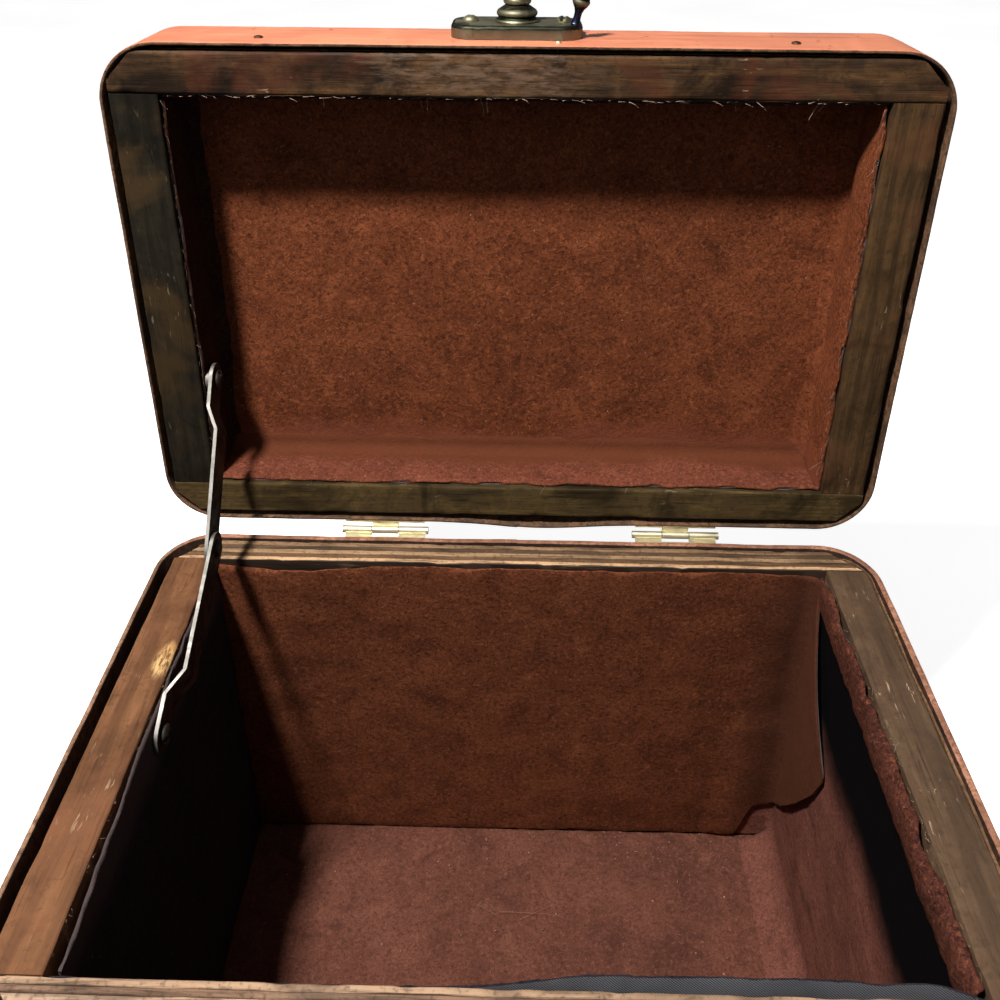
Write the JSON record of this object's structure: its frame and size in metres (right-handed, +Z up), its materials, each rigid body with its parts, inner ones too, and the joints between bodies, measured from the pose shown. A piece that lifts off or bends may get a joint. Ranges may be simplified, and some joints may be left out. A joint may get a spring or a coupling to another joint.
{
  "type": "rattan storage box",
  "caption": "Small lined storage box: butted wooden frame in a woven cane skin with bent bands, hinged lid held open by a folding stay, clasp on the lid front.",
  "frame": {"origin": "centre of the underside of the box body, on the surface it stands on", "axes": "+X to the box's right, +Y to its back (hinge side), +Z up; the lid stands open past upright"},
  "size_m": [0.2712, 0.2239, 0.3721],
  "materials": {
    "solid_wood": "worn, oiled",
    "plywood": "raw edge",
    "cane": "woven, varnished",
    "band": "varnished",
    "felt": "matted",
    "bronze": "tarnished",
    "steel": "dulled",
    "nail_brass": "worn"
  },
  "bodies": {
    "box_body": {"front_board": "plywood", "back_board": "plywood", "left_board": "solid_wood", "right_board": "solid_wood", "bottom_board": "plywood", "cane_skin": "cane", "rim_band": "band", "base_band": "band", "rim_band_nails": "nail_brass", "base_band_nails": "nail_brass", "floor_lining": "felt", "back_lining": "felt", "front_lining": "felt", "left_lining": "felt", "right_lining": "felt", "hinge_leaf_lower_left": "steel", "hinge_leaf_lower_right": "steel", "hinge_pin_left": "steel", "hinge_pin_right": "steel", "hinge_screws_lower": "steel", "stay_lower_screw": "nail_brass"},
    "lid": {"lid_front_rail": "plywood", "lid_back_rail": "solid_wood", "lid_left_rail": "solid_wood", "lid_right_rail": "solid_wood", "lid_top_board": "plywood", "lid_cane_skin": "cane", "lid_band": "band", "lid_band_nails": "nail_brass", "lid_small_nail": "nail_brass", "lid_top_lining": "felt", "lid_back_lining": "felt", "lid_front_lining": "felt", "lid_left_lining": "felt", "lid_right_lining": "felt", "hinge_leaf_upper_left": "steel", "hinge_leaf_upper_right": "steel", "hinge_screws_upper": "steel", "stay_upper_screw": "nail_brass", "stay_upper_washer": "steel", "clasp_plate": "bronze", "clasp_foot": "bronze", "clasp_screws": "nail_brass"},
    "stay_lower": {"stay_lower_arm": "steel", "stay_knee_rivet": "nail_brass"},
    "stay_upper": {"stay_upper_arm": "steel"},
    "clasp_knob_turn": {"clasp_knob": "bronze"},
    "clasp_lever_turn": {"clasp_lever": "bronze"}
  },
  "joints": [
    {"name": "lid_hinge", "type": "hinge", "parent": "box_body", "child": "lid", "pos_m": [0, 0.0936, 0.164], "axis": [1, 0, 0], "range_deg": [0, 92.3]},
    {"name": "stay_lower_pivot", "type": "hinge", "parent": "box_body", "child": "stay_lower", "pos_m": [-0.1119, 0.0029, 0.154], "axis": [1, 0, 0], "range_deg": [-67.79, 0.3]},
    {"name": "stay_upper_pivot", "type": "hinge", "parent": "lid", "child": "stay_upper", "pos_m": [-0.1119, 0.10112, 0.22675], "axis": [1, 0, 0], "range_deg": [-32.96, 0.3]},
    {"name": "clasp_knob_pivot", "type": "hinge", "parent": "lid", "child": "clasp_knob_turn", "pos_m": [-0.003, 0.12192, 0.35572], "axis": [0, 0.0401, 0.9992], "range_deg": [0, 90]},
    {"name": "clasp_lever_pivot", "type": "hinge", "parent": "lid", "child": "clasp_lever_turn", "pos_m": [0.0154, 0.11532, 0.35098], "axis": [0.225, 0.0391, 0.9736], "range_deg": [0, 90]}
  ],
  "couplings": [
    {"joint": "stay_lower_pivot", "follows": "lid_hinge", "ratio": -0.73122},
    {"joint": "stay_upper_pivot", "follows": "lid_hinge", "ratio": -0.35382}
  ]
}
